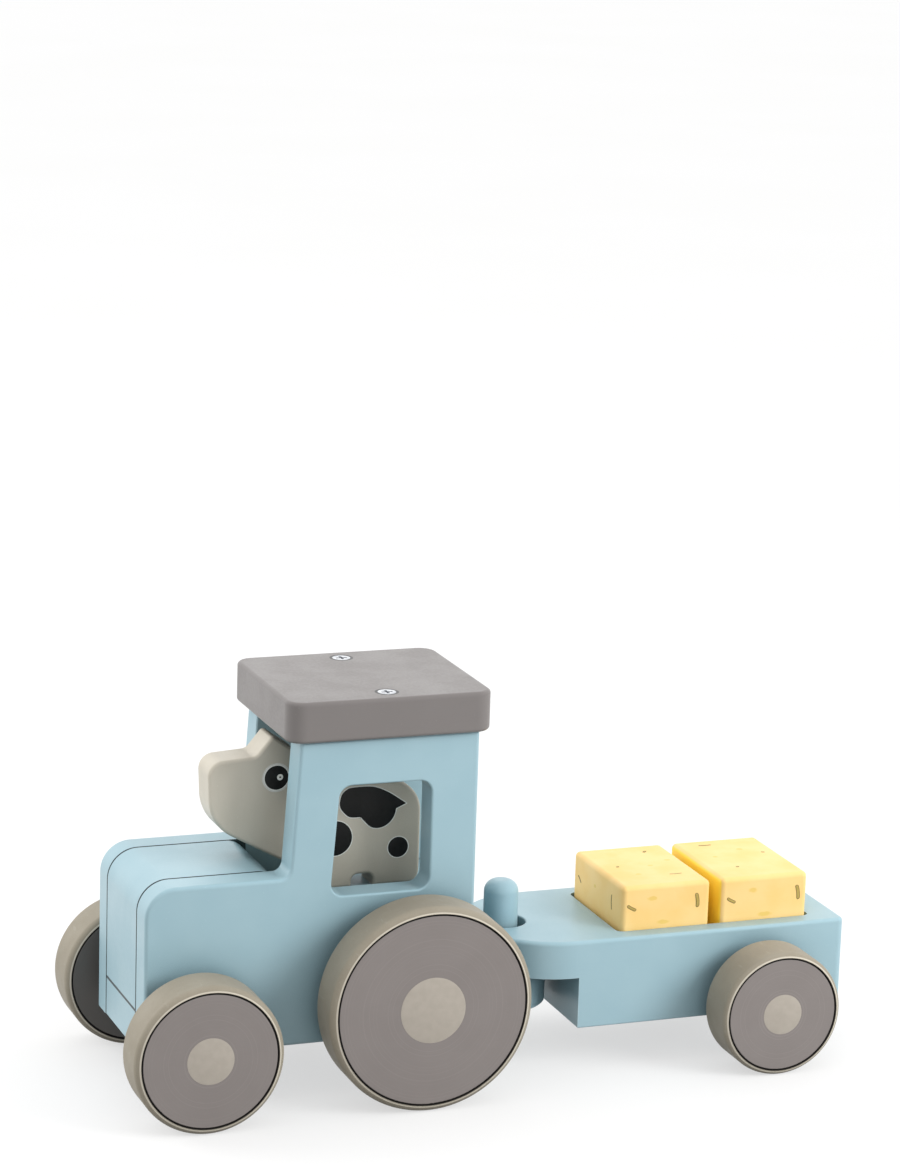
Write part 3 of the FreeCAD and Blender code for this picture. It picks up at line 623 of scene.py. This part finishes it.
def paint_calf():
    """Black patches with thin white outlines and a round eye, the same on both sides of the calf."""
    black = ink("black_ink", rgb(13, 13, 13), rgb(24, 24, 23), 0.46, 0.25)
    white = ink("white_ink", rgb(238, 238, 232), rgb(228, 228, 221), 0.42)
    halo = ink("pale_ink", rgb(214, 213, 208), rgb(206, 205, 199), 0.42)
    cloud = smooth(in_mm(CLOUD_PATCH), CLOUD_CORNERS)
    patches = {
        "cloud_patch": cloud,
        "chest_patch": circle(-57.6 * MM, 95.4 * MM, 7.0 * MM),
        "rump_patch": circle(-31.5 * MM, 90.0 * MM, 4.15 * MM),
    }
    inks = {"eye_halo": halo, "eye_rim": white, "eye": black, "eye_glint": white, "eye_pupil": black}
    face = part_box("calf_figure")[1].y
    for side, side_name in ((-1, "left"), (1, "right")):

        def place(u, v, height, side=side):
            return (u, side * (face + height), v)

        for name, outline in patches.items():
            rim = grown(anticlockwise(outline), PATCH_RIM)
            film(f"calf_{name}_rim_{side_name}", rim, place, "tractor", white, 0.03 * MM)
            film(f"calf_{name}_{side_name}", outline, place, "tractor", black, 0.07 * MM)
        for name, (u, v), radius, thick, count in EYE_LAYERS:
            outline = circle(u * MM, v * MM, radius * MM, count)
            film(f"calf_{name}_{side_name}", outline, place, "tractor", inks[name], thick * MM)


DOT_RADII = {"front": 9.2 * MM, "rear": 13.1 * MM, "trailer": 8.2 * MM}


def paint_hubs():
    """A round beige dot printed at the middle of each wheel's outer face."""
    beige = ink("dot_ink", rgb(176, 168, 157), rgb(171, 163, 152), 0.5)
    for name in WHEELSETS:
        x, _, z = HINGE_PLACES[f"{name}_axle_spin"]
        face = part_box(f"{name}_wheel_disc_right")[1].y
        dot = circle(x, z, DOT_RADII[name], 96)
        for side, side_name in ((-1, "left"), (1, "right")):

            def place(u, v, height, side=side, face=face):
                return (u, side * (face + height), v)

            film(f"{name}_hub_dot_{side_name}", dot, place, f"{name}_wheelset", beige, 0.06 * MM)


def dash(length, width, bend=0.0, count=9):
    """A closed outline of a short brush stroke along u, round at both ends and a little bent."""
    half = length / 2 - width / 2
    upper = [(half * (1 - 2 * i / (count - 1)), width / 2) for i in range(count)]
    cap = [
        (-half + width / 2 * math.cos(a), width / 2 * math.sin(a))
        for a in [math.pi / 2 + math.pi * i / 8 for i in range(1, 8)]
    ]
    outline = upper + cap + [(-u, -v) for u, v in upper] + [(-u, -v) for u, v in cap]
    return [(u, v + bend * (u / length) ** 2 * 4) for u, v in outline]


def placed(outline, u, v, angle):
    c, s = math.cos(math.radians(angle)), math.sin(math.radians(angle))
    return [(u + c * a - s * b, v + s * a + c * b) for a, b in outline]


BALE_ROUND = 2.0 * MM
STALK_LINE = 0.5
FILLED_FROM = 1.0
# Each stroke: face, its middle on that face, length, width (all mm), angle in degrees.
# The middle is (x, z) on left and right, (y, z) on front and back, and (x, y) on top and under.
BALE_STROKES = {
    "front": [
        ("left", 61.2, 62.6, 4.5, 1.3, -30), ("left", 89.8, 63.8, 6.0, 1.6, -84),
        ("front", 18.8, 61.6, 3.9, 0.7, -143), ("front", -14.2, 62.1, 6.2, 0.6, -94),
        ("top", 65.8, 0.4, 1.7, 1.1, 40), ("top", 84.5, 16.8, 2.6, 1.2, 48),
        ("top", 85.0, -14.0, 5.2, 0.5, -2), ("right", 64.0, 61.0, 4.6, 1.3, 24),
        ("right", 88.0, 57.5, 5.6, 1.5, 82), ("back", -15.0, 58.0, 4.6, 1.2, 32),
        ("back", 13.0, 64.0, 5.4, 0.8, -80), ("under", 70.0, 10.0, 5.0, 1.2, 20),
        ("under", 84.0, -12.0, 4.4, 1.0, -50),
    ],
    "rear": [
        ("left", 104.6, 62.2, 4.3, 1.3, -29), ("left", 134.1, 63.5, 6.2, 1.6, -81),
        ("top", 112.3, 18.4, 5.6, 0.8, -1), ("top", 131.8, 4.0, 1.5, 1.1, -14),
        ("top", 113.2, -11.8, 1.6, 1.1, 21), ("right", 108.0, 64.5, 5.8, 1.5, 80),
        ("right", 129.0, 56.0, 4.6, 1.3, -26), ("back", 14.0, 57.0, 4.8, 1.2, -28),
        ("back", -15.5, 64.0, 5.6, 0.8, 84), ("front", -12.0, 59.0, 4.6, 1.1, 30),
        ("front", 15.0, 63.0, 5.0, 0.8, -75), ("under", 112.0, -9.0, 5.0, 1.2, -15),
        ("under", 127.0, 13.0, 4.4, 1.0, 55),
    ],
}


def wrapped(low, high, face):
    """Puts a point (u, v) of one face of a round-edged block, and a height over it, on the block."""
    inner_low = low + Vector((BALE_ROUND,) * 3)
    inner_high = high - Vector((BALE_ROUND,) * 3)

    def place(u, v, height):
        flat = {
            "left": (u, low.y, v), "right": (u, high.y, v), "front": (low.x, u, v), "back": (high.x, u, v),
            "top": (u, v, high.z), "under": (u, v, low.z),
        }[face]
        core = Vector([min(max(p, a), b) for p, a, b in zip(flat, inner_low, inner_high)])
        return core + (Vector(flat) - core).normalized() * (BALE_ROUND + height)

    return place


def paint_bales():
    """Short brushed stalks on every face of the two bales: an olive stroke in a thin brown line."""
    line = ink("stalk_line_ink", rgb(112, 94, 50), rgb(128, 108, 60), 0.55)
    fill = ink("stalk_fill_ink", rgb(190, 168, 96), rgb(178, 156, 84), 0.55)
    for bale, strokes in BALE_STROKES.items():
        low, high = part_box(f"bale_{bale}")
        for number, (face, u, v, length, width, angle) in enumerate(strokes, start=1):
            place = wrapped(low, high, face)
            bend = (0.04 if number % 2 else -0.05) * length
            body = f"{bale}_bale"
            outer = dash(length * MM, width * MM, bend * MM)
            outer = placed(outer, u * MM, v * MM, angle)
            film(f"bale_{bale}_stalk_{number}", outer, place, body, line, 0.05 * MM)
            if width >= FILLED_FROM:
                inner = dash((length - STALK_LINE) * MM, (width - STALK_LINE) * MM, bend * MM)
                inner = placed(inner, u * MM, v * MM, angle)
                film(f"bale_{bale}_stalk_fill_{number}", inner, place, body, fill, 0.09 * MM)


make_camera()
dress_frame()
paint_calf()
paint_hubs()
paint_bales()


# --------------------------------------------------------------------------- studio


FLOOR_RADIUS = 20.0
FLOOR_DROP = 0.05 * MM
FLOOR_GLOW = 0.6
FLOOR_BOUNCE = 0.33


def make_floor():
    """A pale paper floor. It glows a little, and throws less light back on the object than it shows."""
    s = Shader("floor_paper", roughness=0.8, specular=0.2)
    tone = s.noise(3, 3)
    shown = s.mix(s.span(tone, 0.3, 0.7), rgb(249, 249, 249), rgb(247, 247, 246))
    s.bump(s.noise(600, 2), 0.00001)
    material = s.finish(shown)
    bounce = s.add("ShaderNodeBsdfDiffuse")
    bounce.inputs["Color"].default_value = (FLOOR_BOUNCE, FLOOR_BOUNCE, FLOOR_BOUNCE, 1.0)
    glow = s.add("ShaderNodeEmission")
    lit = s.add("ShaderNodeMixShader")
    lit.inputs[0].default_value = FLOOR_GLOW
    s.put(lit.inputs[1], s.surface.outputs[0])
    s.put(lit.inputs[2], glow.outputs[0])
    choice = s.add("ShaderNodeMixShader")
    s.put(choice.inputs[0], s.add("ShaderNodeLightPath").outputs["Is Diffuse Ray"])
    s.put(choice.inputs[1], lit.outputs[0])
    s.put(choice.inputs[2], bounce.outputs[0])
    s.put(s.tree.nodes["Material Output"].inputs["Surface"], choice.outputs[0])
    mesh = bpy.data.meshes.new("floor")
    built = bmesh.new()
    bmesh.ops.create_circle(built, cap_ends=True, segments=96, radius=FLOOR_RADIUS)
    built.to_mesh(mesh)
    built.free()
    mesh.materials.append(material)
    floor = bpy.data.objects.new("floor", mesh)
    floor.location.z = -FLOOR_DROP
    bpy.context.scene.collection.objects.link(floor)


def soft_box(name, place, aim, size, power):
    """A round area light that shows in no reflection."""
    data = bpy.data.lights.new(name, "AREA")
    data.shape = "DISK"
    data.size = size
    data.energy = power
    light = bpy.data.objects.new(name, data)
    light.location = place
    light.rotation_euler = (Vector(aim) - Vector(place)).to_track_quat("-Z", "Y").to_euler()
    light.visible_glossy = False
    bpy.context.scene.collection.objects.link(light)


SKY = 0.9
SKY_BEHIND = 1.35
SKY_BRIGHT_WAY = (-0.15, 0.95, 0.28)


def make_studio():
    """A white sky, brighter behind the object, and two soft lights."""
    world = bpy.data.worlds.new("studio")
    world.use_nodes = True
    tree = world.node_tree
    sky = tree.nodes["Background"]
    sky.inputs["Color"].default_value = (1.0, 1.0, 1.0, 1.0)
    toward = tree.nodes.new("ShaderNodeVectorMath")
    toward.operation = "DOT_PRODUCT"
    toward.inputs[1].default_value = Vector(SKY_BRIGHT_WAY).normalized()
    tree.links.new(tree.nodes.new("ShaderNodeTexCoord").outputs["Generated"], toward.inputs[0])
    glow = tree.nodes.new("ShaderNodeMapRange")
    glow.interpolation_type = "SMOOTHSTEP"
    for key, number in (("From Min", 0.1), ("From Max", 1.0), ("To Min", SKY), ("To Max", SKY_BEHIND)):
        glow.inputs[key].default_value = number
    tree.links.new(toward.outputs["Value"], glow.inputs["Value"])
    tree.links.new(glow.outputs["Result"], sky.inputs["Strength"])
    bpy.context.scene.world = world
    soft_box("key", (-1.1, 0.7, 0.6), (0.0, 0.0, 0.07), 0.8, 7.0)
    soft_box("fill", (0.75, -0.75, 0.55), (0.1, 0.0, 0.05), 0.6, 8.2)
    bpy.context.scene.view_settings.view_transform = "Standard"


make_floor()
make_studio()
